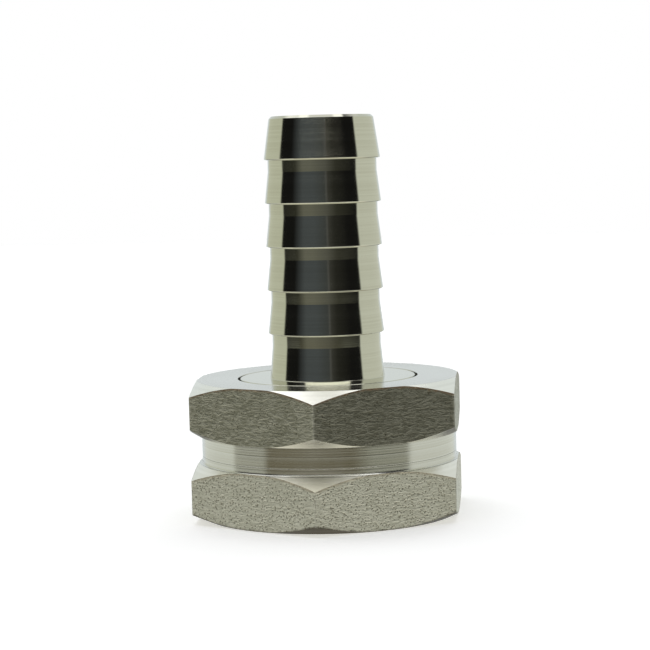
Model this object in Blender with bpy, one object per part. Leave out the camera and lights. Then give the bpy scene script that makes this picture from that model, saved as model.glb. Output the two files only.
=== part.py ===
"""Carbon dioxide diffuser: a barbed hose tail, a swivelling union nut and a hexagonal outlet body.

The finished part is in metres with +Z up. Its origin is the centre of the base, and the Z axis is
the axis that every round piece shares. Lengths below are in millimetres, and MM scales them.
The two hexagons have corners on +Y and -Y, and flats facing +X and -X.
"""
import math

import bmesh
import bpy
import mathutils

MM = 0.001

# Hexagon bar that the nut and the body are cut from
HEX_AF = 32.0
CORNER_R = HEX_AF / 2 / math.cos(math.radians(30))
CHAMFER_R = 16.2
CHAMFER_DROP = 1.40
BASE_CHAMFER_DROP = 1.25
BLANK_R = CORNER_R + 0.5
BAND_R = 15.79
EDGE = 0.1
EASE = 0.2
MOUTH_EASE = 0.3
OVERSHOOT = 1.0

# Levels of the outlet body and the nut
BODY_HEX_TOP = 6.80
SHOULDER_TOP = 7.55
NECK_TOP = 12.00
NECK_BORE_R = 8.0
NUT_BOTTOM = 7.70
NUT_HEX_BOTTOM = 10.21
NUT_TOP = 16.98

# Thread between them: M27 x 1.5 with running clearance
PITCH = 1.5
CREST_R = 13.40
ROOT_R = 12.50
CREST_HALF = 0.15
FLANK = math.tan(math.radians(30))
FLANK_GAP = 0.12
NUT_MINOR_R = 12.70
NUT_MAJOR_R = 13.65
NUT_RELIEF_R = 13.80
NUT_RELIEF_LOW = 12.40
NUT_RELIEF_HIGH = 13.60
NUT_RUNOUT = 0.4
NUT_MOUTH = 0.8
RELIEF_R = 12.40
RELIEF_TOP = 9.00
THREAD_START = 8.36
NECK_TURNS = 3.0
NUT_TURNS = 4.5
CUTTER_LIP = 0.2
NUT_CUTTER_LIP = 0.1
LEAD_IN = 0.5

# Outlet at the underside: recess, retaining ring, seals and porous disc
RECESS_R = 12.2
RECESS_TOP = 6.1
RING_R = 12.05
OUTLET_R = 9.6
RING_BOTTOM = 0.5
RING_TOP = 2.2
SEAL_R = 12.0
SEAL_BORE_R = 9.7
SEAL_THICK = 0.6
DISC_R = 12.0
DISC_BOTTOM = 3.0
DISC_TOP = 5.2
SEAT_GAP = 0.1
SLOT_WIDTH = 2.4
SLOT_DEPTH = 0.9

# Hose tail: collar, groove for the swivel ring, and barbs
COLLAR_R = 10.85
NUT_BORE_R = 11.15
TAIL_FACE = 13.40
GROOVE_LOW = 14.50
GROOVE_HIGH = 16.10
TAIL_GROOVE_R = 9.6
NUT_GROOVE_R = 11.85
WIRE_R = 0.70
WIRE_RING_R = 11.0
WIRE_SPLIT_DEG = 15.0
BARB_PITCH = 5.35
TOP_LIP = 43.90
LIPS = 5
TAIL_TOP = 49.15
TIP_R = 6.44
LIP_R = 7.157
BARB_ROOT_R = 6.70
BARB_LAND = 1.40
FOOT_R = 7.00
FOOT_LAND = 0.80
LIP_BACK = 0.12
HOSE_BORE_R = 4.6
VALVE_BORE_R = 5.3
VALVE_STOP = 29.75

# Gasket between the tail and the neck
GASKET_R = 10.7
GASKET_BORE_R = 8.1

# Non-return valve in the tail
SLEEVE_R = 5.15
SLEEVE_BOTTOM = 17.5
SLEEVE_TOP = 29.1
SLEEVE_BORE_R = 4.2
SEAT_R = 2.4
SEAT_TOP = 27.0
SEAT_BOTTOM = 25.6
SEAT_FUNNEL = 0.6
SLEEVE_RING_Z = 28.0
SLEEVE_RING_R = 4.7
SLEEVE_RING_WIRE = 0.5
SLEEVE_GROOVE_R = 4.1
SLEEVE_GROOVE_HALF = 0.6
SCREEN_R = 5.1
SCREEN_BOTTOM = 29.2
SCREEN_TOP = 29.6
SCREEN_HOLE_R = 0.45
SCREEN_ROWS = ((0.0, 1), (1.6, 6), (3.2, 12))
GUIDE_BOTTOM = 15.95
GUIDE_TOP = 17.35
GUIDE_HOLE_R = 1.2
GAS_HOLES = 4
GAS_HOLE_R = 0.95
GAS_HOLE_RING_R = 3.0
CLIP_R = 5.85
CLIP_BORE_R = 4.5
CLIP_BOTTOM = 15.10
CLIP_TOP = 15.80
CLIP_GROOVE_R = 5.95
CLIP_GROOVE_LOW = 15.0
CLIP_GROOVE_HIGH = 15.9
CLIP_OPEN_DEG = 60.0
STEM_R = 1.0
STEM_BOTTOM = 16.4
HEAD_R = 3.3
HEAD_BOTTOM = 23.7
HEAD_TOP = 25.4
POST_R = 2.15
POST_TOP = 26.5
POST_LIP_R = 2.45
POST_LIP_TOP = 26.7
POST_SHOULDER_R = 2.30
NOSE_TOP = 27.5
POPPET_RING_R = 2.75
POPPET_RING_Z = 25.95
POPPET_RING_WIRE = 0.45
SPRING_R = 2.1
SPRING_WIRE_R = 0.25
SPRING_TURNS = 4.0
SPRING_END_TURNS = 0.75
SPRING_END_PITCH = 0.55

# Flats round a full turn of a piece, and round the section of a wire or a hole
BIG = 36
MEDIUM = 30
SMALL = 20
SPRING_STEPS = 16
GAS_HOLE_SIDES = 12
WIRE_SIDES = 8
SPRING_SIDES = 6
HEX_SIDES = 6
SHARP_DEG = 30


def clear_scene():
    """Empty the scene that the file opens with."""
    for item in list(bpy.data.objects):
        bpy.data.objects.remove(item, do_unlink=True)


def make_material(name, colour, roughness, metallic):
    """A Principled material of one colour."""
    material = bpy.data.materials.new(name)
    material.use_nodes = True
    shader = material.node_tree.nodes["Principled BSDF"]
    shader.inputs["Base Color"].default_value = (*colour, 1.0)
    shader.inputs["Roughness"].default_value = roughness
    shader.inputs["Metallic"].default_value = metallic
    return material


def add_frame(name, parent=None):
    """An empty on the Z axis that a moving group hangs from."""
    frame = bpy.data.objects.new(name, None)
    bpy.context.scene.collection.objects.link(frame)
    frame.parent = parent
    return frame


def add_piece(name, bm, material=None, parent=None):
    """Turn a bmesh in millimetres into a named object in metres."""
    bmesh.ops.recalc_face_normals(bm, faces=bm.faces)
    bmesh.ops.scale(bm, vec=(MM, MM, MM), verts=bm.verts)
    mesh = bpy.data.meshes.new(name)
    bm.to_mesh(mesh)
    bm.free()
    mesh.shade_smooth()
    mesh.set_sharp_from_angle(angle=math.radians(SHARP_DEG))
    if material:
        mesh.materials.append(material)
    piece = bpy.data.objects.new(name, mesh)
    bpy.context.scene.collection.objects.link(piece)
    piece.parent = parent
    return piece


def combine(piece, name, bm, operation):
    """Cut a shape out of a piece, or keep only what the two have in common."""
    cutter = add_piece(name, bm)
    cutter.hide_render = True
    cutter.display_type = "WIRE"
    boolean = piece.modifiers.new(name, "BOOLEAN")
    boolean.operation = operation
    boolean.object = cutter
    boolean.solver = "EXACT"


def turned(outline, steps):
    """Spin an outline of (radius, height) points a full turn about Z."""
    bm = bmesh.new()
    verts = [bm.verts.new((radius, 0.0, height)) for radius, height in outline]
    edges = [bm.edges.new(pair) for pair in zip(verts, verts[1:])]
    if outline[0][0] > 0.0:
        edges.append(bm.edges.new((verts[-1], verts[0])))
    bmesh.ops.spin(bm, geom=verts + edges, cent=(0, 0, 0), axis=(0, 0, 1),
                   angle=math.tau, steps=steps, use_merge=True)
    bmesh.ops.remove_doubles(bm, verts=bm.verts, dist=0.0001)
    return bm


def swept(outline, stages):
    """Sweep a closed outline round Z in stages of (angle, steps, rise), and close both ends."""
    bm = bmesh.new()
    verts = [bm.verts.new((radius, 0.0, height)) for radius, height in outline]
    first = [bm.edges.new(pair) for pair in zip(verts, verts[1:] + verts[:1])]
    front = verts + first
    for angle, steps, rise in stages:
        made = bmesh.ops.spin(bm, geom=front, cent=(0, 0, 0), axis=(0, 0, 1),
                              dvec=(0, 0, rise / steps), angle=angle, steps=steps)
        front = made["geom_last"]
    last = [item for item in front if isinstance(item, bmesh.types.BMEdge)]
    bmesh.ops.edgeloop_fill(bm, edges=first)
    bmesh.ops.edgeloop_fill(bm, edges=last)
    return bm


def helix(outline, turns):
    """Sweep an outline along the thread."""
    return swept(outline, [(math.tau * turns, round(BIG * turns), PITCH * turns)])


def round_section(radius, height, wire, sides):
    """Points round the section of a wire or an O-ring."""
    turns = [math.tau * k / sides for k in range(sides)]
    return [(radius + wire * math.cos(a), height + wire * math.sin(a)) for a in turns]


def hexagon(low, high):
    """A hexagonal bar with corners on +Y and -Y."""
    bm = bmesh.new()
    bmesh.ops.create_cone(bm, cap_ends=True, segments=HEX_SIDES, radius1=CORNER_R,
                          radius2=CORNER_R, depth=high - low)
    bmesh.ops.translate(bm, vec=(0, 0, (high + low) / 2), verts=bm.verts)
    return bm


def chamfer_run(drop):
    """How far a chamfer has run along Z where it reaches the blank's outer radius."""
    return drop * (BLANK_R - CHAMFER_R) / (CORNER_R - CHAMFER_R)


def neck_groove():
    """The helical groove that leaves the thread standing on the neck."""
    mouth = PITCH / 2 - CREST_HALF
    section = [(ROOT_R, mouth - (CREST_R - ROOT_R) * FLANK),
               (CREST_R + CUTTER_LIP, mouth + CUTTER_LIP * FLANK)]
    lower = [(radius, THREAD_START - half) for radius, half in section]
    upper = [(radius, THREAD_START + half) for radius, half in reversed(section)]
    return helix(lower + upper, NECK_TURNS)


def nut_groove():
    """The groove inside the nut, in which the neck's thread runs with clearance."""
    start = THREAD_START + PITCH / 2 - 2 * PITCH
    mouth = CREST_HALF + (CREST_R - NUT_MINOR_R + NUT_CUTTER_LIP) * FLANK + FLANK_GAP
    root = CREST_HALF - (NUT_MAJOR_R - CREST_R) * FLANK + FLANK_GAP
    section = [(NUT_MINOR_R - NUT_CUTTER_LIP, mouth), (NUT_MAJOR_R, root)]
    lower = [(radius, start - half) for radius, half in section]
    upper = [(radius, start + half) for radius, half in reversed(section)]
    return helix(lower + upper, NUT_TURNS)


def make_outlet_body(steel):
    """Lower hexagon, shoulder and threaded neck, bored through and recessed from below."""
    low = chamfer_run(BASE_CHAMFER_DROP)
    high = BODY_HEX_TOP - chamfer_run(CHAMFER_DROP)
    outline = [
        (RECESS_R + MOUTH_EASE, 0.0), (CHAMFER_R, 0.0), (BLANK_R, low), (BLANK_R, high),
        (CHAMFER_R, BODY_HEX_TOP), (BAND_R, BODY_HEX_TOP), (BAND_R, SHOULDER_TOP - EDGE),
        (BAND_R - EDGE, SHOULDER_TOP), (RELIEF_R, SHOULDER_TOP), (RELIEF_R, RELIEF_TOP - LEAD_IN),
        (CREST_R, RELIEF_TOP), (CREST_R, NECK_TOP - LEAD_IN), (CREST_R - 2 * LEAD_IN, NECK_TOP),
        (NECK_BORE_R, NECK_TOP), (NECK_BORE_R, RECESS_TOP), (RECESS_R, RECESS_TOP),
        (RECESS_R, MOUTH_EASE),
    ]
    body = add_piece("outlet_body", turned(outline, BIG), steel)
    combine(body, "body_bar", hexagon(-OVERSHOOT, NECK_TOP + OVERSHOOT), "INTERSECT")
    combine(body, "neck_thread", neck_groove(), "DIFFERENCE")


def make_union_nut(steel, parent):
    """Upper hexagon and skirt, threaded inside, with a groove for the swivel ring."""
    run = chamfer_run(CHAMFER_DROP)
    outline = [
        (NUT_MAJOR_R + EDGE, NUT_BOTTOM), (BAND_R - EDGE, NUT_BOTTOM),
        (BAND_R, NUT_BOTTOM + EDGE), (BAND_R, NUT_HEX_BOTTOM), (CHAMFER_R, NUT_HEX_BOTTOM),
        (BLANK_R, NUT_HEX_BOTTOM + run), (BLANK_R, NUT_TOP - run), (CHAMFER_R, NUT_TOP),
        (NUT_BORE_R + EDGE, NUT_TOP), (NUT_BORE_R, NUT_TOP - EDGE), (NUT_BORE_R, GROOVE_HIGH),
        (NUT_GROOVE_R, GROOVE_HIGH), (NUT_GROOVE_R, GROOVE_LOW), (NUT_BORE_R, GROOVE_LOW),
        (NUT_BORE_R, NUT_RELIEF_HIGH), (NUT_RELIEF_R, NUT_RELIEF_HIGH),
        (NUT_RELIEF_R, NUT_RELIEF_LOW), (NUT_MINOR_R, NUT_RELIEF_LOW - NUT_RUNOUT),
        (NUT_MINOR_R, NUT_BOTTOM + NUT_MOUTH),
    ]
    nut = add_piece("union_nut", turned(outline, BIG), steel, parent)
    combine(nut, "nut_bar", hexagon(NUT_BOTTOM - OVERSHOOT, NUT_TOP + OVERSHOOT), "INTERSECT")
    combine(nut, "nut_thread", nut_groove(), "DIFFERENCE")


def barb_outline():
    """The tiers from the foot up: a cone that narrows, a straight land, and the lip above it."""
    points = [(FOOT_R, NUT_TOP), (FOOT_R, NUT_TOP + FOOT_LAND)]
    for tier in range(LIPS):
        lip = TOP_LIP - BARB_PITCH * (LIPS - 1 - tier)
        root = lip - LIP_BACK
        points += [(BARB_ROOT_R, root - BARB_LAND), (BARB_ROOT_R, root), (LIP_R, lip)]
    return points + [(TIP_R, TAIL_TOP - EDGE), (TIP_R - EDGE, TAIL_TOP)]


def make_hose_tail(steel, parent):
    """Flush collar with its ring groove, barbs, and a bore stepped for the valve."""
    outline = [
        (VALVE_BORE_R + EASE, TAIL_FACE), (COLLAR_R - EASE, TAIL_FACE),
        (COLLAR_R, TAIL_FACE + EASE), (COLLAR_R, GROOVE_LOW), (TAIL_GROOVE_R, GROOVE_LOW),
        (TAIL_GROOVE_R, GROOVE_HIGH), (COLLAR_R, GROOVE_HIGH), (COLLAR_R, NUT_TOP - EDGE),
        (COLLAR_R - EDGE, NUT_TOP),
    ]
    outline += barb_outline()
    outline += [
        (HOSE_BORE_R + MOUTH_EASE, TAIL_TOP), (HOSE_BORE_R, TAIL_TOP - MOUTH_EASE),
        (HOSE_BORE_R, VALVE_STOP), (VALVE_BORE_R, VALVE_STOP), (VALVE_BORE_R, CLIP_GROOVE_HIGH),
        (CLIP_GROOVE_R, CLIP_GROOVE_HIGH), (CLIP_GROOVE_R, CLIP_GROOVE_LOW),
        (VALVE_BORE_R, CLIP_GROOVE_LOW), (VALVE_BORE_R, TAIL_FACE + EASE),
    ]
    add_piece("hose_tail", turned(outline, MEDIUM), steel, parent)


def make_swivel_ring(steel, parent):
    """Split wire ring that lies half in the collar and half in the nut."""
    middle = (GROOVE_LOW + GROOVE_HIGH) / 2
    arc = math.radians(360 - WIRE_SPLIT_DEG)
    bm = swept(round_section(WIRE_RING_R, middle, WIRE_R, WIRE_SIDES), [(arc, BIG, 0.0)])
    add_piece("swivel_ring", bm, steel, parent)


def make_washer(name, bore, outer, low, high, material):
    """A flat ring with its outer edges eased."""
    outline = [(bore, low), (outer - EDGE, low), (outer, low + EDGE), (outer, high - EDGE),
               (outer - EDGE, high), (bore, high)]
    add_piece(name, turned(outline, BIG), material)


def make_diffuser_disc(sintered):
    """Porous disc with eased edges."""
    outline = [(0.0, DISC_BOTTOM), (DISC_R - EASE, DISC_BOTTOM), (DISC_R, DISC_BOTTOM + EASE),
               (DISC_R, DISC_TOP - EASE), (DISC_R - EASE, DISC_TOP), (0.0, DISC_TOP)]
    add_piece("diffuser_disc", turned(outline, BIG), sintered)


def make_seals(silicone, rubber):
    """The soft rings on both sides of the disc, and the gasket on top of the neck."""
    low = DISC_BOTTOM - SEAT_GAP - SEAL_THICK
    make_washer("disc_lower_seal", SEAL_BORE_R, SEAL_R, low, low + SEAL_THICK, silicone)
    low = DISC_TOP + SEAT_GAP
    make_washer("disc_upper_seal", SEAL_BORE_R, SEAL_R, low, low + SEAL_THICK, silicone)
    make_washer("face_gasket", GASKET_BORE_R, GASKET_R, NECK_TOP + SEAT_GAP,
                TAIL_FACE - SEAT_GAP, rubber)


def make_retaining_ring(steel):
    """Ring that screws into the recess, with two crossed slots for a pin spanner."""
    outline = [(OUTLET_R + EASE, RING_BOTTOM), (RING_R - EASE, RING_BOTTOM),
               (RING_R, RING_BOTTOM + EASE), (RING_R, RING_TOP), (OUTLET_R, RING_TOP),
               (OUTLET_R, RING_BOTTOM + EASE)]
    ring = add_piece("retaining_ring", turned(outline, BIG), steel)
    long = 3 * RING_R
    for name, length, width in (("slot_x", long, SLOT_WIDTH), ("slot_y", SLOT_WIDTH, long)):
        bm = bmesh.new()
        bmesh.ops.create_cube(bm, size=1.0)
        bmesh.ops.scale(bm, vec=(length, width, 2 * SLOT_DEPTH), verts=bm.verts)
        bmesh.ops.translate(bm, vec=(0, 0, RING_BOTTOM), verts=bm.verts)
        combine(ring, name, bm, "DIFFERENCE")


def make_valve_sleeve(plastic, parent):
    """Sleeve with a conical seat near its top and a groove for its O-ring."""
    groove_low = SLEEVE_RING_Z - SLEEVE_GROOVE_HALF
    groove_high = SLEEVE_RING_Z + SLEEVE_GROOVE_HALF
    outline = [
        (SLEEVE_BORE_R, SLEEVE_BOTTOM), (SLEEVE_R, SLEEVE_BOTTOM), (SLEEVE_R, groove_low),
        (SLEEVE_GROOVE_R, groove_low), (SLEEVE_GROOVE_R, groove_high), (SLEEVE_R, groove_high),
        (SLEEVE_R, SLEEVE_TOP - EASE), (SLEEVE_R - EASE, SLEEVE_TOP),
        (SEAT_R + SEAT_FUNNEL, SLEEVE_TOP), (SEAT_R, SLEEVE_TOP - SEAT_FUNNEL),
        (SEAT_R, SEAT_TOP), (SLEEVE_BORE_R, SEAT_BOTTOM),
    ]
    add_piece("valve_sleeve", turned(outline, MEDIUM), plastic, parent)


def make_oring(name, radius, height, wire, rubber, parent):
    """An O-ring."""
    bm = turned(round_section(radius, height, wire, WIRE_SIDES), SMALL)
    add_piece(name, bm, rubber, parent)


def hole_ring(bm, count, ring_r, hole_r, low, high, sides):
    """Add the cutters of a ring of holes through a plate."""
    for hole in range(count):
        turn = math.tau * (hole + 0.5) / count
        centre = (ring_r * math.cos(turn), ring_r * math.sin(turn), (low + high) / 2)
        bmesh.ops.create_cone(bm, cap_ends=True, segments=sides, radius1=hole_r,
                              radius2=hole_r, depth=2 * (high - low),
                              matrix=mathutils.Matrix.Translation(centre))


def make_valve_guide(plastic, parent):
    """Plate that guides the stem, carries the spring and lets gas through its holes."""
    outline = [(GUIDE_HOLE_R, GUIDE_BOTTOM), (SLEEVE_R, GUIDE_BOTTOM), (SLEEVE_R, GUIDE_TOP),
               (GUIDE_HOLE_R, GUIDE_TOP)]
    guide = add_piece("valve_guide", turned(outline, MEDIUM), plastic, parent)
    bm = bmesh.new()
    hole_ring(bm, GAS_HOLES, GAS_HOLE_RING_R, GAS_HOLE_R, GUIDE_BOTTOM, GUIDE_TOP,
              GAS_HOLE_SIDES)
    combine(guide, "gas_holes", bm, "DIFFERENCE")


def make_inlet_screen(steel, parent):
    """Perforated disc above the sleeve that keeps grit from the hose off the seat."""
    outline = [(0.0, SCREEN_BOTTOM), (SCREEN_R, SCREEN_BOTTOM), (SCREEN_R, SCREEN_TOP),
               (0.0, SCREEN_TOP)]
    screen = add_piece("inlet_screen", turned(outline, MEDIUM), steel, parent)
    bm = bmesh.new()
    for ring_r, count in SCREEN_ROWS:
        hole_ring(bm, count, ring_r, SCREEN_HOLE_R, SCREEN_BOTTOM, SCREEN_TOP, WIRE_SIDES)
    combine(screen, "screen_holes", bm, "DIFFERENCE")


def make_valve_circlip(steel, parent):
    """Open ring that snaps into the groove below the guide."""
    outline = [(CLIP_BORE_R, CLIP_BOTTOM), (CLIP_R, CLIP_BOTTOM), (CLIP_R, CLIP_TOP),
               (CLIP_BORE_R, CLIP_TOP)]
    bm = swept(outline, [(math.radians(360 - CLIP_OPEN_DEG), SMALL, 0.0)])
    add_piece("valve_circlip", bm, steel, parent)


def make_valve_spring(steel, parent):
    """Compression spring with closed ends, between the guide and the poppet's head."""
    low = GUIDE_TOP + SEAT_GAP + SPRING_WIRE_R
    high = HEAD_BOTTOM - SEAT_GAP - SPRING_WIRE_R
    end_rise = SPRING_END_PITCH * SPRING_END_TURNS
    end_steps = round(SPRING_STEPS * SPRING_END_TURNS)
    end = (math.tau * SPRING_END_TURNS, end_steps, end_rise)
    rise = high - low - 2 * end_rise
    middle = (math.tau * SPRING_TURNS, round(SPRING_STEPS * SPRING_TURNS), rise)
    bm = swept(round_section(SPRING_R, low, SPRING_WIRE_R, SPRING_SIDES), [end, middle, end])
    add_piece("valve_spring", bm, steel, parent)


def make_valve_poppet(steel, parent):
    """Stem, head and grooved post that carries the soft ring against the seat."""
    outline = [
        (0.0, STEM_BOTTOM), (STEM_R - EASE, STEM_BOTTOM), (STEM_R, STEM_BOTTOM + EASE),
        (STEM_R, HEAD_BOTTOM), (HEAD_R, HEAD_BOTTOM), (HEAD_R, HEAD_TOP), (POST_R, HEAD_TOP),
        (POST_R, POST_TOP), (POST_LIP_R, POST_TOP), (POST_SHOULDER_R, POST_LIP_TOP),
        (STEM_R, NOSE_TOP), (0.0, NOSE_TOP),
    ]
    add_piece("valve_poppet", turned(outline, SMALL), steel, parent)


def main():
    """Build every piece, hung from the frame of the body that it moves with."""
    clear_scene()
    turned_steel = make_material("turned_stainless", (0.62, 0.61, 0.56), 0.22, 1.0)
    bar_steel = make_material("bar_stainless", (0.45, 0.45, 0.39), 0.45, 1.0)
    spring_steel = make_material("spring_steel", (0.55, 0.55, 0.55), 0.3, 1.0)
    sintered = make_material("sintered_stainless", (0.42, 0.41, 0.39), 0.7, 1.0)
    silicone = make_material("silicone", (0.75, 0.74, 0.70), 0.5, 0.0)
    rubber = make_material("black_rubber", (0.03, 0.03, 0.03), 0.6, 0.0)
    plastic = make_material("white_acetal", (0.85, 0.85, 0.82), 0.35, 0.0)

    lift = add_frame("lift_frame")
    nut = add_frame("nut_frame", lift)
    tail = add_frame("tail_frame", lift)
    poppet = add_frame("poppet_frame", tail)

    make_outlet_body(bar_steel)
    make_retaining_ring(turned_steel)
    make_diffuser_disc(sintered)
    make_seals(silicone, rubber)
    make_swivel_ring(spring_steel, lift)
    make_union_nut(bar_steel, nut)
    make_hose_tail(turned_steel, tail)
    make_valve_sleeve(plastic, tail)
    make_oring("sleeve_oring", SLEEVE_RING_R, SLEEVE_RING_Z, SLEEVE_RING_WIRE, rubber, tail)
    make_inlet_screen(turned_steel, tail)
    make_valve_guide(plastic, tail)
    make_valve_circlip(spring_steel, tail)
    make_valve_spring(spring_steel, tail)
    make_valve_poppet(turned_steel, poppet)
    make_oring("poppet_oring", POPPET_RING_R, POPPET_RING_Z, POPPET_RING_WIRE, rubber, poppet)


main()
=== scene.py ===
import math

import bmesh
import bpy
from mathutils import Matrix, Quaternion, Vector, noise


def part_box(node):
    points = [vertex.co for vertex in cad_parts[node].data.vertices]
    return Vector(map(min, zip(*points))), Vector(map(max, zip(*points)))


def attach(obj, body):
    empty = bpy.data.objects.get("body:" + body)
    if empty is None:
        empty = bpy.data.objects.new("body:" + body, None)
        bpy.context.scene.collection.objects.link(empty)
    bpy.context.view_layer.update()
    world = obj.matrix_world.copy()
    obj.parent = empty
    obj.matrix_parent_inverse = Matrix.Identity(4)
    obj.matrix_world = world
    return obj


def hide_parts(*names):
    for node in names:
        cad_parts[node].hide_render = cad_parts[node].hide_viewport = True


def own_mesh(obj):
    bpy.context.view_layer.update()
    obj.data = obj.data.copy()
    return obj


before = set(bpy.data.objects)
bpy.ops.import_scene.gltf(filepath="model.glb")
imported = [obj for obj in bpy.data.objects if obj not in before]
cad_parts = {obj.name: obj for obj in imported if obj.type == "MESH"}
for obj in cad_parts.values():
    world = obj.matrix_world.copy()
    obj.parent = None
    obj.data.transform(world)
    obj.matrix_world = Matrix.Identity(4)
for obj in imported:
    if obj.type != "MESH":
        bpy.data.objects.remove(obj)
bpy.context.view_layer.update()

# ------------------------
# Outlet body. It is turned, bored and threaded from stainless hexagon bar: the lower
# hexagon, a short round shoulder, and the neck that the union nut screws on. The flats
# keep the pitted skin of pickled bar, and everything else is fresh from the lathe.
# ------------------------
MM = 0.001
STEPS = 192


def extent(node):
    """The lowest and highest corners of a node at rest, in millimetres."""
    low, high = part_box(node)
    return low / MM, high / MM


body_high = extent("outlet_body")[1]
ACROSS_FLATS = 2 * body_high.x
CORNER_R = ACROSS_FLATS / 2 / math.cos(math.radians(30))
CHAMFER_R = 16.2
CHAMFER_DROP = 1.40
BASE_R = 15.8
BASE_DROP = 1.25
BAR_R = CORNER_R + 0.5
CHAMFER_RUN = CHAMFER_DROP * (BAR_R - CHAMFER_R) / (CORNER_R - CHAMFER_R)
BAND_R = 15.79
BODY_HEX_TOP = 6.80
SKIRT_GAP = 0.015
SHOULDER_TOP = extent("union_nut")[0].z - SKIRT_GAP
SEAM_EASE = 0.03
BAND_FILLET = 0.22
EDGE_EASE = 0.07
NECK_TOP = body_high.z
NECK_BORE_R = 8.0
RECESS_R = 12.2
RECESS_TOP = 6.1
RECESS_CHAMFER = 0.3

PITCH = 1.5
CREST_R = 13.40
ROOT_R = 12.50
CREST_HALF = 0.15
FLANK = math.tan(math.radians(30))
THREAD_START = 8.36
RELIEF_R = 12.40
THREAD_LOW = 8.50
LEAD_IN = 0.50
LEAD_CUTS = 5

FLAT = 1
WORN = 2
CHAMFER = 3
SHARP_DEG = 28
TURNED_SHARP = 4
# Direction of the flats that get painted shade, in degrees round Z.
DARK_SIDE_DEG = -70.0

MERGE = 0.0005
CUT_DIST = 0.00001
BLACK = (0.0, 0.0, 0.0, 1)
WHITE = (1.0, 1.0, 1.0, 1)
RUBBED = (0.62, 0.62, 0.56, 1)
# Colour of the painted contact shadow along the base of the flats.
GRIME_BROWN = (0.04, 0.028, 0.015, 1)


def polar_turn(vert):
    """How far round Z a vertex is, in steps of the lathe."""
    return math.atan2(vert.co.y, vert.co.x) / math.tau * STEPS


def lathe(bm, outline, closed=True, steps=STEPS):
    """Spin an outline of (radius, height) or (radius, height, eased edge) points round Z."""
    points = [bm.verts.new((point[0], 0.0, point[1])) for point in outline]
    pairs = list(zip(points, points[1:]))
    if closed:
        pairs.append((points[-1], points[0]))
    for pair in pairs:
        bm.edges.new(pair)
    for point, vert in zip(outline, points):
        if len(point) == 3:
            bmesh.ops.bevel(bm, geom=[vert], offset=point[2], offset_type="OFFSET",
                            affect="VERTICES", segments=3, profile=0.5, material=-1)
    verts = [vert for vert in bm.verts if not vert.link_faces]
    edges = [edge for edge in bm.edges if not edge.link_faces]
    bmesh.ops.spin(bm, geom=verts + edges, cent=(0, 0, 0), axis=(0, 0, 1),
                   angle=math.tau, steps=steps, use_merge=True)
    bmesh.ops.remove_doubles(bm, verts=bm.verts, dist=MERGE)


def thread_wall(bm, section, start, low, high, reach):
    """Open threaded wall. Its section climbs one pitch a turn, and reach(radius, height)
    keeps it inside the chamfers at both ends."""
    first = math.floor((low - start) / PITCH) - 1
    last = math.ceil((high - start) / PITCH) + 1
    points = [(radius, start + PITCH * turn + offset)
              for turn in range(first, last) for offset, radius in section]
    verts = [bm.verts.new((radius, 0.0, height)) for radius, height in points]
    edges = [bm.edges.new(pair) for pair in zip(verts, verts[1:])]
    bmesh.ops.spin(bm, geom=verts + edges, cent=(0, 0, 0), axis=(0, 0, 1),
                   dvec=(0, 0, PITCH / STEPS), angle=math.tau, steps=STEPS)
    bmesh.ops.remove_doubles(bm, verts=bm.verts, dist=0.001)
    chamfer_cuts = [low + LEAD_IN * k / LEAD_CUTS for k in range(LEAD_CUTS + 1)]
    chamfer_cuts += [high - LEAD_IN * k / LEAD_CUTS for k in range(LEAD_CUTS + 1)]
    for height in chamfer_cuts:
        bmesh.ops.bisect_plane(bm, geom=bm.verts[:] + bm.edges[:] + bm.faces[:], dist=CUT_DIST,
                               plane_co=(0, 0, height), plane_no=(0, 0, 1),
                               clear_inner=height == low, clear_outer=height == high)
    for vert in bm.verts:
        radius = vert.co.xy.length
        vert.co.xy *= reach(radius, vert.co.z) / radius
    for height in (low, high):
        ring = [vert for vert in bm.verts if abs(vert.co.z - height) < 0.0001]
        on_step = [vert for vert in ring if abs(polar_turn(vert) - round(polar_turn(vert))) < 0.02]
        columns = {round(polar_turn(vert)) % STEPS: vert for vert in on_step}
        strays = [vert for vert in ring if vert not in columns.values()]
        bmesh.ops.weld_verts(bm, targetmap={vert: columns[round(polar_turn(vert)) % STEPS]
                                            for vert in strays})


def ease_edges(bm, edges, offset):
    """Round these edges a little, and give back the new faces."""
    made = bmesh.ops.bevel(bm, geom=edges, offset=offset, offset_type="OFFSET", affect="EDGES",
                           segments=2, profile=0.5, material=-1, clamp_overlap=True)
    return made["faces"]


def cut_hexagon(bm):
    """Saw six flats off the turned blank, ease their edges, and mark its chamfers."""
    for side in range(6):
        turn = math.tau * side / 6
        normal = Vector((math.cos(turn), math.sin(turn), 0.0))
        cut = bmesh.ops.bisect_plane(bm, geom=bm.verts[:] + bm.edges[:] + bm.faces[:],
                                     dist=CUT_DIST, plane_co=normal * ACROSS_FLATS / 2,
                                     plane_no=normal, clear_outer=True)
        rim = [item for item in cut["geom_cut"] if isinstance(item, bmesh.types.BMEdge)]
        rim = [edge for edge in rim if edge.is_boundary]
        bmesh.ops.edgeloop_fill(bm, edges=rim, mat_nr=FLAT)
    bm.normal_update()
    for face in bm.faces:
        middle = face.calc_center_median()
        sloping = 0.3 < abs(face.normal.z) < 0.97
        if sloping and middle.xy.length > CHAMFER_R and middle.z > BASE_DROP:
            face.material_index = CHAMFER
    edges = [edge for edge in bm.edges if len(edge.link_faces) == 2
             and any(face.material_index == FLAT for face in edge.link_faces)]
    # Eased edges at the base keep the flats' material, so on the body they get its painted contact
    # shadow.
    for face in ease_edges(bm, edges, EDGE_EASE):
        at_base = face.calc_center_median().z < BASE_DROP + 0.2
        face.material_index = FLAT if at_base else WORN


def set_inputs(tree, node, inputs):
    """Link each of these inputs to a socket, or give it a value."""
    for key, value in inputs.items():
        if isinstance(value, bpy.types.NodeSocket):
            tree.links.new(value, node.inputs[key])
        else:
            node.inputs[key].default_value = value


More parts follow.
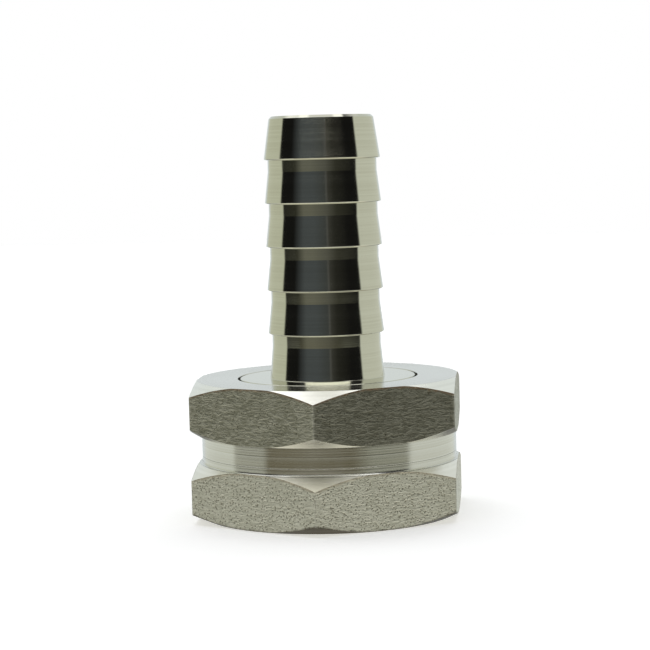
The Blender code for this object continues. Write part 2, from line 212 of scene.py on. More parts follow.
def add_node(tree, kind, inputs=None, **settings):
    """A shader node with its settings and its inputs."""
    node = tree.nodes.new("ShaderNode" + kind)
    for name, value in settings.items():
        setattr(node, name, value)
    set_inputs(tree, node, inputs or {})
    return node


def calc(tree, operation, *values):
    """The output of a Math node."""
    return add_node(tree, "Math", dict(enumerate(values)), operation=operation).outputs[0]


def blend_colour(tree, factor, first, second):
    """The output of a Mix node on two colours."""
    return add_node(tree, "Mix", {0: factor, 6: first, 7: second}, data_type="RGBA").outputs[2]


def fade(tree, value, start, end, low=0.0, high=1.0):
    """A value that goes smoothly from low at start to high at end."""
    node = add_node(tree, "MapRange", {"Value": value, "From Min": start, "From Max": end,
                                       "To Min": low, "To Max": high},
                    interpolation_type="SMOOTHSTEP")
    return node.outputs["Result"]


def cloud(tree, place, scale, detail, roughness=0.5, distortion=0.0):
    """Soft noise that goes with a place."""
    return add_node(tree, "TexNoise", {"Vector": place, "Scale": scale, "Detail": detail,
                                       "Roughness": roughness, "Distortion": distortion}).outputs[0]


def uneven_rings(tree, along, spacing):
    """Noise that changes in one direction only, at this spacing."""
    return add_node(tree, "TexNoise", {"W": calc(tree, "DIVIDE", along, spacing), "Scale": 1.0,
                                       "Detail": 2.0, "Roughness": 0.5},
                    noise_dimensions="1D").outputs[0]


def bump(tree, height, depth, strength=1.0, invert=False):
    """The normal of a surface raised by a height, its depth in millimetres."""
    return add_node(tree, "Bump", {"Height": height, "Distance": depth * MM,
                                   "Strength": strength}, invert=invert).outputs[0]


def new_group(name, inputs, outputs):
    """An empty shader group with float inputs and outputs, and its two end nodes."""
    group = bpy.data.node_groups.new(name, "ShaderNodeTree")
    for label, value in inputs.items():
        socket = group.interface.new_socket(label, in_out="INPUT", socket_type="NodeSocketFloat")
        socket.default_value = value
    for label in outputs:
        group.interface.new_socket(label, in_out="OUTPUT", socket_type="NodeSocketFloat")
    return group, group.nodes.new("NodeGroupInput"), group.nodes.new("NodeGroupOutput")


def use_group(tree, group, **values):
    """Place a group in a material with its own values."""
    node = tree.nodes.new("ShaderNodeGroup")
    node.node_tree = group
    set_inputs(tree, node, {label.replace("_", " "): value for label, value in values.items()})
    return node


def object_position(tree):
    """Where a point is on its piece: the vector, its radius and its height, in millimetres."""
    place = add_node(tree, "TexCoord").outputs["Object"]
    place = add_node(tree, "VectorMath", {0: place, 3: 1 / MM}, operation="SCALE").outputs[0]
    axes = add_node(tree, "SeparateXYZ", {0: place}).outputs
    across = calc(tree, "ADD", calc(tree, "MULTIPLY", axes[0], axes[0]),
                  calc(tree, "MULTIPLY", axes[1], axes[1]))
    return place, calc(tree, "SQRT", across), axes[2]


def turning_group():
    """Marks of the lathe tool: fine rings, broader bands of them, and where they are rough."""
    group, start, end = new_group("turning_marks", {"Spacing": 0.2, "Band": 1.6},
                                  ("Height", "Tone", "Rough"))
    place, radius, height = object_position(group)
    along = calc(group, "ADD", height, calc(group, "MULTIPLY", radius, 1.37))
    fine = uneven_rings(group, along, start.outputs["Spacing"])
    band = uneven_rings(group, along, start.outputs["Band"])
    patches = cloud(group, place, 0.22, 3.0)
    tone = calc(group, "ADD", calc(group, "MULTIPLY", fine, 0.5), calc(group, "MULTIPLY", band, 0.5))
    rough = calc(group, "MULTIPLY", calc(group, "ADD", band, patches), 0.5)
    set_inputs(group, end, {"Height": fine, "Tone": tone, "Rough": rough})
    return group


def bar_skin_group():
    """Skin of pickled bar: long low ripples, round pits, clouds of tone, and painted side shade."""
    group, start, end = new_group("bar_skin", {"Ripple": 1.2, "Stretch": 3.5, "Pit": 0.28,
                                               "Pitted": 0.5}, ("Height", "Tone", "Pits", "Side"))
    place = object_position(group)[0]
    tall = add_node(group, "CombineXYZ", {0: 1.0, 1: 1.0, 2: start.outputs["Stretch"]}).outputs[0]
    drawn = add_node(group, "VectorMath", {0: place, 1: tall}, operation="MULTIPLY").outputs[0]
    size = calc(group, "DIVIDE", 1.0, start.outputs["Ripple"])
    ripple = cloud(group, drawn, size, 3.0, 0.55, 0.8)
    patches = cloud(group, place, 0.35, 4.0, 0.6)
    pit_size = calc(group, "DIVIDE", 1.0, start.outputs["Pit"])
    warped = add_node(group, "TexNoise", {"Vector": place, "Scale": pit_size, "Detail": 1.0})
    warp = add_node(group, "VectorMath", {0: warped.outputs["Color"], 3: 0.25},
                    operation="SCALE").outputs[0]
    shifted = add_node(group, "VectorMath", {0: place, 1: warp}, operation="ADD").outputs[0]
    cells = add_node(group, "TexVoronoi", {"Vector": shifted, "Scale": pit_size})
    chosen = add_node(group, "SeparateColor", {0: cells.outputs["Color"]}).outputs[0]
    chosen = calc(group, "LESS_THAN", chosen, start.outputs["Pitted"])
    pits = calc(group, "MULTIPLY", fade(group, cells.outputs["Distance"], 0.50, 0.20), chosen)
    raised = calc(group, "ADD", ripple, calc(group, "MULTIPLY", cloud(group, place, 6.0, 2.0), 0.25))
    raised = calc(group, "SUBTRACT", raised, calc(group, "MULTIPLY", pits, 0.6))
    tone = calc(group, "ADD", calc(group, "MULTIPLY", ripple, 0.75),
                calc(group, "MULTIPLY", patches, 0.25))
    axes = add_node(group, "SeparateXYZ", {0: place}).outputs
    # Painted shade: a mask that is strongest on the flats that face one direction.
    side = calc(group, "ROUND", calc(group, "DIVIDE", calc(group, "ARCTAN2", axes[1], axes[0]),
                                     math.tau / 6))
    lean = calc(group, "COSINE", calc(group, "MULTIPLY_ADD", side, math.tau / 6,
                                      -math.radians(DARK_SIDE_DEG)))
    side = calc(group, "POWER", calc(group, "MAXIMUM", lean, 0.0), 4.0)
    set_inputs(group, end, {"Height": raised, "Tone": tone, "Pits": pits, "Side": side})
    return group


def hexagon_edge_group():
    """How near a point on a flat is to a corner, to the upper chamfer and to the lower one."""
    group, start, end = new_group(
        "hexagon_edges", {"Top": 1.0, "Bottom": 0.0, "Top Drop": CHAMFER_DROP,
                          "Bottom Drop": CHAMFER_DROP, "Width": 0.35},
        ("Corner", "Upper", "Lower"))
    place, radius, height = object_position(group)
    ragged = calc(group, "MULTIPLY", cloud(group, place, 1.6, 3.0), 2.0)
    width = calc(group, "MULTIPLY", start.outputs["Width"], ragged)
    along = calc(group, "SQRT", calc(group, "MAXIMUM", 0.0, calc(
        group, "SUBTRACT", calc(group, "MULTIPLY", radius, radius), (ACROSS_FLATS / 2) ** 2)))
    to_corner = calc(group, "SUBTRACT", CORNER_R / 2, along)
    out = calc(group, "MAXIMUM", 0.0, calc(group, "SUBTRACT", radius, CHAMFER_R))
    share = calc(group, "DIVIDE", out, CORNER_R - CHAMFER_R)
    upper = calc(group, "SUBTRACT", start.outputs["Top"],
                 calc(group, "MULTIPLY", share, start.outputs["Top Drop"]))
    lower = calc(group, "ADD", start.outputs["Bottom"],
                 calc(group, "MULTIPLY", share, start.outputs["Bottom Drop"]))
    gaps = {"Corner": to_corner, "Upper": calc(group, "SUBTRACT", upper, height),
            "Lower": calc(group, "SUBTRACT", height, lower)}
    set_inputs(group, end, {label: fade(group, calc(group, "DIVIDE", gap, width), 1.0, 0.0)
                            for label, gap in gaps.items()})
    return group


turning_marks = turning_group()
bar_skin = bar_skin_group()
hexagon_edges = hexagon_edge_group()


def new_material(name):
    """An empty material, its tree and its Principled shader."""
    material = bpy.data.materials.new(name)
    material.use_nodes = True
    return material, material.node_tree, material.node_tree.nodes["Principled BSDF"]


def turned_steel(name, colour, dark, roughness, spread, spacing, depth, stretch=0.5):
    """Stainless steel fresh from the lathe: rings of slightly different grey that stretch the
    light up and down, and a bump of the tool's feed."""
    material, tree, shader = new_material(name)
    marks = use_group(tree, turning_marks, Spacing=spacing, Band=spacing * 7)
    shade = fade(tree, marks.outputs["Tone"], 0.30, 0.70)
    rough = fade(tree, marks.outputs["Rough"], 0.25, 0.75, roughness - spread, roughness + spread)
    set_inputs(tree, shader, {
        "Base Color": blend_colour(tree, shade, dark, colour), "Roughness": rough,
        "Normal": bump(tree, marks.outputs["Height"], depth), "Metallic": 1.0,
        "Anisotropic": stretch, "Anisotropic Rotation": 0.25})
    return material


def bar_steel(name, light, dark, stain, top, bottom, base_drop, ripple, pitted, depth, uneven,
              grime=0.0):
    """The flats of pickled bar: dull rippled skin with painted shade on one side, pits, a stain that
    the chamfering tool left along the upper edge, a painted contact shadow along the lower one,
    and corners rubbed bright."""
    material, tree, shader = new_material(name)
    skin = use_group(tree, bar_skin, Ripple=ripple, Pitted=pitted)
    edges = use_group(tree, hexagon_edges, Top=top, Bottom=bottom, Bottom_Drop=base_drop)
    colour = blend_colour(tree, fade(tree, skin.outputs["Tone"], 0.40, 0.60), dark, light)
    pit_colour = (dark[0] * 0.35, dark[1] * 0.33, dark[2] * 0.28, 1)
    # Painted shade on the flats that face one side, real pits and stain, and a painted contact
    # shadow along the base.
    for mark, share, tint in ((skin.outputs["Side"], uneven, BLACK),
                              (skin.outputs["Pits"], 0.8, pit_colour),
                              (edges.outputs["Upper"], 0.7, stain),
                              (edges.outputs["Lower"], grime, GRIME_BROWN)):
        colour = blend_colour(tree, calc(tree, "MULTIPLY", mark, share), colour, tint)
    rubbed = calc(tree, "MULTIPLY", edges.outputs["Corner"], 0.3)
    colour = blend_colour(tree, rubbed, colour, RUBBED)
    rough = fade(tree, skin.outputs["Tone"], 0.3, 0.7, 0.50, 0.36)
    rough = calc(tree, "SUBTRACT", rough, calc(tree, "MULTIPLY", rubbed, 0.3))
    set_inputs(tree, shader, {"Base Color": colour, "Roughness": rough, "Metallic": 1.0,
                              "Normal": bump(tree, skin.outputs["Height"], depth)})
    return material


def add_piece(name, bm, body, node, slot, *materials, sharp=SHARP_DEG):
    """Turn a bmesh in millimetres into a piece that rides on a body and stands for a node.
    Edges that turn more than sharp degrees are shaded sharp."""
    bmesh.ops.remove_doubles(bm, verts=bm.verts, dist=MERGE)
    bmesh.ops.recalc_face_normals(bm, faces=bm.faces)
    bmesh.ops.scale(bm, vec=(MM, MM, MM), verts=bm.verts)
    mesh = bpy.data.meshes.new(name)
    bm.to_mesh(mesh)
    bm.free()
    mesh.shade_smooth()
    mesh.set_sharp_from_angle(angle=math.radians(sharp))
    for material in materials:
        mesh.materials.append(material)
    piece = bpy.data.objects.new(name, mesh)
    bpy.context.scene.collection.objects.link(piece)
    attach(piece, body)
    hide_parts(node)
    return piece


def weigh_normals(piece):
    """Keep big flats flat beside their narrow eased edges."""
    modifier = piece.modifiers.new("flat_faces", "WEIGHTED_NORMAL")
    modifier.keep_sharp = True
    modifier.weight = 100


def neck_reach(radius, height):
    """The neck's thread inside its chamfer at the top and its relief at the bottom."""
    rise = min(height - THREAD_LOW, NECK_TOP - height)
    return min(radius, RELIEF_R + rise * (CREST_R - RELIEF_R) / LEAD_IN)


thread_half = CREST_HALF + (CREST_R - ROOT_R) * FLANK
neck_section = [(-PITCH / 2, ROOT_R), (-thread_half, ROOT_R),
                (-(thread_half + CREST_HALF) / 2, (ROOT_R + CREST_R) / 2), (-CREST_HALF, CREST_R),
                (CREST_HALF, CREST_R), ((thread_half + CREST_HALF) / 2, (ROOT_R + CREST_R) / 2),
                (thread_half, ROOT_R)]
bm = bmesh.new()
thread_wall(bm, neck_section, THREAD_START + PITCH / 2, THREAD_LOW, NECK_TOP, neck_reach)
lathe(bm, [
    (RELIEF_R, NECK_TOP), (NECK_BORE_R, NECK_TOP, 0.2), (NECK_BORE_R, RECESS_TOP, 0.15),
    (RECESS_R, RECESS_TOP, 0.15), (RECESS_R, RECESS_CHAMFER),
    (RECESS_R + RECESS_CHAMFER, 0.0, 0.05), (BASE_R, 0.0, 0.08),
    (BAR_R, BASE_DROP * (BAR_R - BASE_R) / (CORNER_R - BASE_R)),
    (BAR_R, BODY_HEX_TOP - CHAMFER_RUN), (CHAMFER_R, BODY_HEX_TOP, 0.06),
    (BAND_R, BODY_HEX_TOP, BAND_FILLET), (BAND_R, SHOULDER_TOP, SEAM_EASE),
    (RELIEF_R, SHOULDER_TOP, 0.15), (RELIEF_R, THREAD_LOW),
], closed=False)
cut_hexagon(bm)
body_turned = turned_steel("body_turned_steel", (0.64, 0.64, 0.60, 1), (0.55, 0.545, 0.50, 1),
                           roughness=0.18, spread=0.05, spacing=0.22, depth=0.006)
# The body's flats have a lighter skin than the nut's: partly less dark oxide, partly painted light.
body_flats = bar_steel("body_bar_flats", (0.74, 0.74, 0.66, 1), (0.60, 0.60, 0.52, 1),
                       (0.50, 0.44, 0.34, 1), BODY_HEX_TOP, 0.0, BASE_DROP, ripple=0.8,
                       pitted=0.80, depth=0.05, uneven=0.05, grime=0.9)
worn_edge = turned_steel("worn_edge_steel", (0.64, 0.64, 0.60, 1), (0.52, 0.51, 0.46, 1),
                         roughness=0.28, spread=0.06, spacing=0.5, depth=0.004)
# Brighter than the other turned steel: a painted highlight on the body's chamfers.
body_chamfer = turned_steel("body_chamfer_steel", (0.88, 0.87, 0.81, 1), (0.80, 0.79, 0.72, 1),
                            roughness=0.36, spread=0.05, spacing=0.3, depth=0.004, stretch=0.3)
add_piece("hexagon_body", bm, "housing", "outlet_body", "bar_stainless",
          body_turned, body_flats, worn_edge, body_chamfer, sharp=TURNED_SHARP)

# ------------------------
# Upper disc seal. A punched ring of white silicone between the recess and the porous disc,
# so that gas can only leave through the pores. It goes in first.
# ------------------------
WASHER_BORES = {"disc_upper_seal": 9.75, "disc_lower_seal": 9.75, "face_gasket": 8.15}
SWELL = 0.05


def smudge_group():
    """Handling marks and unevenness of moulded and cut parts."""
    group, start, end = new_group("smudges", {"Size": 2.0, "Grain": 0.08}, ("Tone", "Grain"))
    place = object_position(group)[0]
    tone = cloud(group, place, calc(group, "DIVIDE", 1.0, start.outputs["Size"]), 4.0, 0.6, 0.3)
    grain = cloud(group, place, calc(group, "DIVIDE", 1.0, start.outputs["Grain"]), 2.0)
    set_inputs(group, end, {"Tone": tone, "Grain": grain})
    return group


smudges = smudge_group()


def moulded(name, colour, dark, roughness, spread, size, grain, depth):
    """A soft or plastic part: cloudy tone, grain from its mould or blank, and a low bump."""
    material, tree, shader = new_material(name)
    marks = use_group(tree, smudges, Size=size, Grain=grain)
    shade = fade(tree, marks.outputs["Tone"], 0.3, 0.7)
    rough = fade(tree, marks.outputs["Tone"], 0.3, 0.7, roughness + spread, roughness - spread)
    set_inputs(tree, shader, {"Base Color": blend_colour(tree, shade, dark, colour),
                              "Roughness": rough,
                              "Normal": bump(tree, marks.outputs["Grain"], depth, 0.6)})
    return material


def washer(node, name, material, slot, ease):
    """A flat ring of the size that the frame gives, with a slightly swollen rim."""
    low, high = extent(node)
    bore = WASHER_BORES[node]
    middle = (low.z + high.z) / 2
    bm = bmesh.new()
    lathe(bm, [(bore, low.z, ease), (high.x - SWELL, low.z, ease), (high.x, middle),
               (high.x - SWELL, high.z, ease), (bore, high.z, ease), (bore - SWELL, middle)])
    add_piece(name, bm, "housing", node, slot, material)


silicone = moulded("silicone_sheet", (0.78, 0.77, 0.73, 1), (0.66, 0.65, 0.60, 1),
                   roughness=0.42, spread=0.10, size=3.0, grain=0.12, depth=0.02)
set_inputs(silicone.node_tree, silicone.node_tree.nodes["Principled BSDF"],
           {"Subsurface Weight": 0.2, "Subsurface Scale": 0.5 * MM})
washer("disc_upper_seal", "upper_disc_washer", silicone, "silicone", ease=0.08)

# ------------------------
# Porous disc. Stainless powder pressed and sintered into a stiff sponge with pores of a few
# hundredths of a millimetre: gas comes out of its lower face as fine bubbles.
# ------------------------
GRAIN_HEIGHT = 0.035
GRAINS_PER_MM = 2.4
FACE_RINGS = 30


def sintered_steel(name):
    """Fused grains: a bed of little round lumps, with painted shade in the pores between them."""
    material, tree, shader = new_material(name)
    place = object_position(tree)[0]
    lumps = add_node(tree, "TexVoronoi", {"Vector": place, "Scale": 4.5, "Smoothness": 0.35},
                     feature="SMOOTH_F1")
    small = add_node(tree, "TexVoronoi", {"Vector": place, "Scale": 9.0})
    pores = fade(tree, lumps.outputs["Distance"], 0.45, 0.70)
    marks = use_group(tree, smudges, Size=5.0, Grain=0.2)
    colour = blend_colour(tree, fade(tree, marks.outputs["Tone"], 0.3, 0.7),
                          (0.33, 0.32, 0.29, 1), (0.50, 0.49, 0.45, 1))
    # Painted shade: the pores between the lumps are made nearly black, and less metallic further
    # down.
    colour = blend_colour(tree, pores, colour, (0.04, 0.035, 0.03, 1))
    raised = calc(tree, "ADD", lumps.outputs["Distance"],
                  calc(tree, "MULTIPLY", small.outputs["Distance"], 0.4))
    set_inputs(tree, shader, {
        "Base Color": colour, "Roughness": fade(tree, marks.outputs["Grain"], 0.2, 0.8, 0.5, 0.75),
        "Metallic": calc(tree, "SUBTRACT", 1.0, calc(tree, "MULTIPLY", pores, 0.8)),
        "Normal": bump(tree, raised, 0.12, 0.9, invert=True)})
    return material


disc_low, disc_high = extent("diffuser_disc")
disc_r = disc_high.x
face_rings = [disc_r * k / FACE_RINGS for k in range(1, FACE_RINGS - 1)]
bm = bmesh.new()
lathe(bm, [(0.0, disc_low.z)] + [(radius, disc_low.z) for radius in face_rings]
      + [(disc_r, disc_low.z, 0.2), (disc_r, disc_high.z, 0.2)]
      + [(radius, disc_high.z) for radius in reversed(face_rings)] + [(0.0, disc_high.z)],
      closed=False)
for vert in bm.verts:
    if vert.co.xy.length < face_rings[-1] + 0.01:
        depth = GRAIN_HEIGHT * (0.5 + 0.5 * noise.noise(vert.co * GRAINS_PER_MM))
        vert.co.z += depth if vert.co.z < (disc_low.z + disc_high.z) / 2 else -depth
add_piece("porous_disc", bm, "housing", "diffuser_disc", "sintered_stainless",
          sintered_steel("sintered_powder"))

# ------------------------
# Lower disc seal. The same silicone ring as the upper one, between the disc and the
# slotted ring that holds it.
# ------------------------
washer("disc_lower_seal", "lower_disc_washer", silicone, "silicone", ease=0.08)

# ------------------------
# Slotted ring. Turned stainless ring that screws into the recess and clamps the disc. Two
# slots milled across it take a pin spanner, so the disc can be cleaned or changed.
# ------------------------
SLOT_HALF = 1.2
SLOT_DEPTH = 0.9
SLOT_EDGE_EASE = 0.12
INSIDE_SLOT = 0.8
OUTLET_R = 9.6
ring_low, ring_high = extent("retaining_ring")
ring_r = ring_high.x
slot_floor = ring_low.z + SLOT_DEPTH
bm = bmesh.new()
lathe(bm, [(OUTLET_R, slot_floor), (ring_r, slot_floor),
           (ring_r, ring_high.z, 0.15), (OUTLET_R, ring_high.z, 0.15)])
slot_step = round(math.degrees(math.asin(SLOT_HALF / OUTLET_R)) / 360 * STEPS - INSIDE_SLOT)
quarter = STEPS // 4
for vert in bm.verts:
    step = round(polar_turn(vert))
    for side in range(4):
        for edge in (-1, 1):
            if (step - side * quarter - edge * slot_step) % STEPS == 0:
                if vert.co.z < slot_floor + 0.01:
                    radius = vert.co.xy.length
                    turn = side * math.tau / 4 + edge * math.asin(SLOT_HALF / radius)
                    vert.co.xy = (radius * math.cos(turn), radius * math.sin(turn))
bm.faces.ensure_lookup_table()
lands = []
for face in bm.faces:
    middle = face.calc_center_median()
    turn = math.atan2(middle.y, middle.x) / math.tau * STEPS
    from_slot = min(abs((turn - side * quarter + STEPS / 2) % STEPS - STEPS / 2)
                    for side in range(4))
    if abs(middle.z - slot_floor) < 0.01 and from_slot > slot_step:
        lands.append(face)
made = bmesh.ops.extrude_face_region(bm, geom=lands)
moved = [item for item in made["geom"] if isinstance(item, bmesh.types.BMVert)]
bmesh.ops.translate(bm, vec=(0, 0, -SLOT_DEPTH), verts=moved)
bmesh.ops.delete(bm, geom=lands, context="FACES")
bmesh.ops.recalc_face_normals(bm, faces=bm.faces)
bm.normal_update()
rim = [edge for edge in bm.edges if edge.is_manifold and edge.calc_face_angle() > 1.0
       and all(vert.co.z < ring_low.z + 0.01 for vert in edge.verts)]
ease_edges(bm, rim, SLOT_EDGE_EASE)
ring_steel = turned_steel("ring_turned_steel", (0.64, 0.63, 0.58, 1), (0.48, 0.46, 0.41, 1),
                          roughness=0.24, spread=0.06, spacing=0.18, depth=0.010)
add_piece("slotted_ring", bm, "housing", "retaining_ring", "turned_stainless", ring_steel,
          sharp=TURNED_SHARP)

# ------------------------
# Union gasket. A flat ring of black rubber on top of the neck. The nut pulls the hose
# tail down on it and makes the joint gas tight.
# ------------------------
rubber = moulded("black_rubber_sheet", (0.035, 0.034, 0.033, 1), (0.018, 0.018, 0.018, 1),
                 roughness=0.55, spread=0.12, size=1.5, grain=0.06, depth=0.03)
washer("face_gasket", "union_gasket", rubber, "black_rubber", ease=0.10)

# ------------------------
# Hose tail. Turned in one piece from round bar: the collar that sits flush in the nut,
# six barbs for 13 mm hose, and a stepped bore with a groove for the valve's circlip.
# ------------------------
tail_low, tail_high = extent("hose_tail")
TAIL_TOP = tail_high.z
TAIL_FACE = tail_low.z
COLLAR_R = tail_high.x
COLLAR_TOP = 16.98
GROOVE_LOW = 14.50
GROOVE_HIGH = 16.10
TAIL_GROOVE_R = 9.6
BARB_PITCH = 5.35
TOP_LIP = 43.90
LIPS = 5
TIP_R = 6.44
TIP_CHAMFER = 0.30
LIP_R = 7.157
BARB_ROOT_R = 6.70
BARB_LAND = 1.40
FOOT_R = 7.00
FOOT_LAND = 0.80
FOOT_FLARE = 0.12
LIP_BACK = 0.12
LIP_EASE = 0.08
HOSE_BORE_R = 4.6
BORE_CHAMFER = 0.3
VALVE_BORE_R = 5.3
VALVE_STOP = 29.75
CLIP_GROOVE_R = 5.95
CLIP_GROOVE_LOW = 15.0
CLIP_GROOVE_HIGH = 15.9

barbs = [(FOOT_R + FOOT_FLARE, COLLAR_TOP, 0.05), (FOOT_R, COLLAR_TOP + FOOT_LAND)]
for tier in range(LIPS):
    lip = TOP_LIP - BARB_PITCH * (LIPS - 1 - tier)
    root = lip - LIP_BACK
    barbs += [(BARB_ROOT_R, root - BARB_LAND), (BARB_ROOT_R, root), (LIP_R, lip, LIP_EASE)]
bm = bmesh.new()
lathe(bm, [
    (VALVE_BORE_R, TAIL_FACE, 0.2), (COLLAR_R, TAIL_FACE, 0.2), (COLLAR_R, GROOVE_LOW, 0.1),
    (TAIL_GROOVE_R, GROOVE_LOW, 0.2), (TAIL_GROOVE_R, GROOVE_HIGH, 0.2),
    (COLLAR_R, GROOVE_HIGH, 0.1), (COLLAR_R, COLLAR_TOP, 0.12)] + barbs + [
    (TIP_R, TAIL_TOP - TIP_CHAMFER), (TIP_R - TIP_CHAMFER, TAIL_TOP),
    (HOSE_BORE_R + BORE_CHAMFER, TAIL_TOP), (HOSE_BORE_R, TAIL_TOP - BORE_CHAMFER),
    (HOSE_BORE_R, VALVE_STOP, 0.1),
    (VALVE_BORE_R, VALVE_STOP, 0.1), (VALVE_BORE_R, CLIP_GROOVE_HIGH, 0.05),
    (CLIP_GROOVE_R, CLIP_GROOVE_HIGH, 0.05), (CLIP_GROOVE_R, CLIP_GROOVE_LOW, 0.05),
    (VALVE_BORE_R, CLIP_GROOVE_LOW, 0.05),
])
barb_steel = turned_steel("barb_turned_steel", (0.61, 0.61, 0.52, 1), (0.56, 0.555, 0.465, 1),
                          roughness=0.09, spread=0.02, spacing=0.20, depth=0.0008, stretch=0.3)
add_piece("barbed_tail", bm, "tail", "hose_tail", "turned_stainless", barb_steel,
          sharp=TURNED_SHARP)

# ------------------------
# Split wire ring. Hard drawn stainless wire that lies half in the collar and half in the
# nut: it holds the two together, and the tail turns on it.
# ------------------------
WIRE_R = 0.70
WIRE_RING_R = 11.0
WIRE_SPLIT_DEG = 15.0
WIRE_STEPS = 184
WIRE_SIDES = 20


def sweep(bm, sides, wire, radius, height, stages):
    """Sweep a round wire about Z in stages of (angle, steps, rise), and close its ends. The
    bmesh is empty to start with."""
    made = bmesh.ops.create_circle(bm, segments=sides, radius=wire,
                                   matrix=Matrix.Translation((radius, 0.0, height))
                                   @ Matrix.Rotation(math.pi / 2, 4, "X"))
    first = bm.edges[:]
    front = made["verts"] + first
    for angle, steps, rise in stages:
        made = bmesh.ops.spin(bm, geom=front, cent=(0, 0, 0), axis=(0, 0, 1),
                              dvec=(0, 0, rise / steps), angle=angle, steps=steps)
        front = made["geom_last"]
    last = [item for item in front if isinstance(item, bmesh.types.BMEdge)]
    bmesh.ops.edgeloop_fill(bm, edges=first)
    bmesh.ops.edgeloop_fill(bm, edges=last)


def drawn_wire(name, colour, roughness):
    """Bright drawn wire: faint lines along it and a little oil tint."""
    material, tree, shader = new_material(name)
    marks = use_group(tree, smudges, Size=1.5, Grain=0.05)
    shade = fade(tree, marks.outputs["Tone"], 0.3, 0.7)
    dark = (colour[0] * 0.7, colour[1] * 0.68, colour[2] * 0.62, 1)
    rough = fade(tree, marks.outputs["Grain"], 0.3, 0.7, roughness - 0.06, roughness + 0.1)
    set_inputs(tree, shader, {
        "Base Color": blend_colour(tree, shade, dark, colour), "Roughness": rough,
        "Normal": bump(tree, marks.outputs["Grain"], 0.004, 0.7), "Metallic": 1.0})
    return material


wire_steel = drawn_wire("drawn_wire_steel", (0.60, 0.60, 0.58, 1), 0.22)
bm = bmesh.new()
sweep(bm, WIRE_SIDES, WIRE_R, WIRE_RING_R, (GROOVE_LOW + GROOVE_HIGH) / 2,
      [(math.radians(360 - WIRE_SPLIT_DEG), WIRE_STEPS, 0.0)])
add_piece("split_wire_ring", bm, "swivel", "swivel_ring", "spring_steel", wire_steel)

# ------------------------
# Union nut. Cut from the same hexagon bar as the body, with a turned skirt below the
# hexagon, the thread inside, and the other half of the wire ring's groove.
# ------------------------
nut_low, nut_high = extent("union_nut")
NUT_BOTTOM = nut_low.z
NUT_TOP = nut_high.z
NUT_HEX_BOTTOM = 10.21
FLANK_GAP = 0.12
NUT_MINOR_R = 12.70
NUT_MAJOR_R = 13.65
NUT_RELIEF_R = 13.80
NUT_RELIEF_LOW = 12.40
NUT_RELIEF_HIGH = 13.60
RUNOUT = 0.40
MOUTH = 0.80
MOUTH_R = 13.75
NUT_THREAD_LOW = NUT_BOTTOM + 0.05
NUT_THREAD_HIGH = NUT_RELIEF_LOW - 0.03
NUT_BORE_R = 11.15
NUT_GROOVE_R = 11.85


def nut_reach(radius, height):
    """The nut's thread outside its mouth's chamfer and its run-out."""
    mouth = MOUTH_R - (height - NUT_BOTTOM) * (MOUTH_R - NUT_MINOR_R) / MOUTH
    runout = NUT_RELIEF_R - (NUT_RELIEF_LOW - height) * (NUT_RELIEF_R - NUT_MINOR_R) / RUNOUT
    return max(radius, mouth, runout)


mouth_half = CREST_HALF + (CREST_R - NUT_MINOR_R) * FLANK + FLANK_GAP
root_half = CREST_HALF - (NUT_MAJOR_R - CREST_R) * FLANK + FLANK_GAP
nut_section = [(-PITCH / 2, NUT_MINOR_R), (-mouth_half, NUT_MINOR_R), (-root_half, NUT_MAJOR_R),
               (root_half, NUT_MAJOR_R), (mouth_half, NUT_MINOR_R)]
bm = bmesh.new()
thread_wall(bm, nut_section, THREAD_START + PITCH / 2, NUT_THREAD_LOW, NUT_THREAD_HIGH, nut_reach)
lathe(bm, [
    (nut_reach(0.0, NUT_THREAD_HIGH), NUT_THREAD_HIGH), (NUT_RELIEF_R, NUT_RELIEF_LOW),
    (NUT_RELIEF_R, NUT_RELIEF_HIGH, 0.2), (NUT_BORE_R, NUT_RELIEF_HIGH, 0.1),
    (NUT_BORE_R, GROOVE_LOW, 0.1), (NUT_GROOVE_R, GROOVE_LOW, 0.2),
    (NUT_GROOVE_R, GROOVE_HIGH, 0.2), (NUT_BORE_R, GROOVE_HIGH, 0.1),
    (NUT_BORE_R, NUT_TOP, 0.10), (CHAMFER_R, NUT_TOP, 0.08), (BAR_R, NUT_TOP - CHAMFER_RUN),
    (BAR_R, NUT_HEX_BOTTOM + CHAMFER_RUN), (CHAMFER_R, NUT_HEX_BOTTOM, 0.06),
    (BAND_R, NUT_HEX_BOTTOM),
    (BAND_R, NUT_BOTTOM, SEAM_EASE), (MOUTH_R, NUT_BOTTOM),
    (nut_reach(0.0, NUT_THREAD_LOW), NUT_THREAD_LOW),
], closed=False)
cut_hexagon(bm)
nut_turned = turned_steel("nut_turned_steel", (0.64, 0.64, 0.60, 1), (0.55, 0.54, 0.49, 1),
                          roughness=0.16, spread=0.05, spacing=0.24, depth=0.006)
# The nut's flats have a darker skin than the body's: partly darker oxide, partly painted shade.
nut_flats = bar_steel("nut_bar_flats", (0.44, 0.44, 0.37, 1), (0.28, 0.28, 0.22, 1),
                      (0.24, 0.15, 0.09, 1), NUT_TOP, NUT_HEX_BOTTOM, CHAMFER_DROP, ripple=0.9,
                      pitted=0.10, depth=0.12, uneven=0.52)
# Brighter than the other turned steel: a painted highlight on the nut's chamfers.
nut_chamfer = turned_steel("nut_chamfer_steel", (0.87, 0.87, 0.82, 1), (0.79, 0.79, 0.74, 1),
                           roughness=0.30, spread=0.05, spacing=0.3, depth=0.004, stretch=0.3)
add_piece("hexagon_nut", bm, "nut", "union_nut", "bar_stainless",
          nut_turned, nut_flats, worn_edge, nut_chamfer, sharp=TURNED_SHARP)

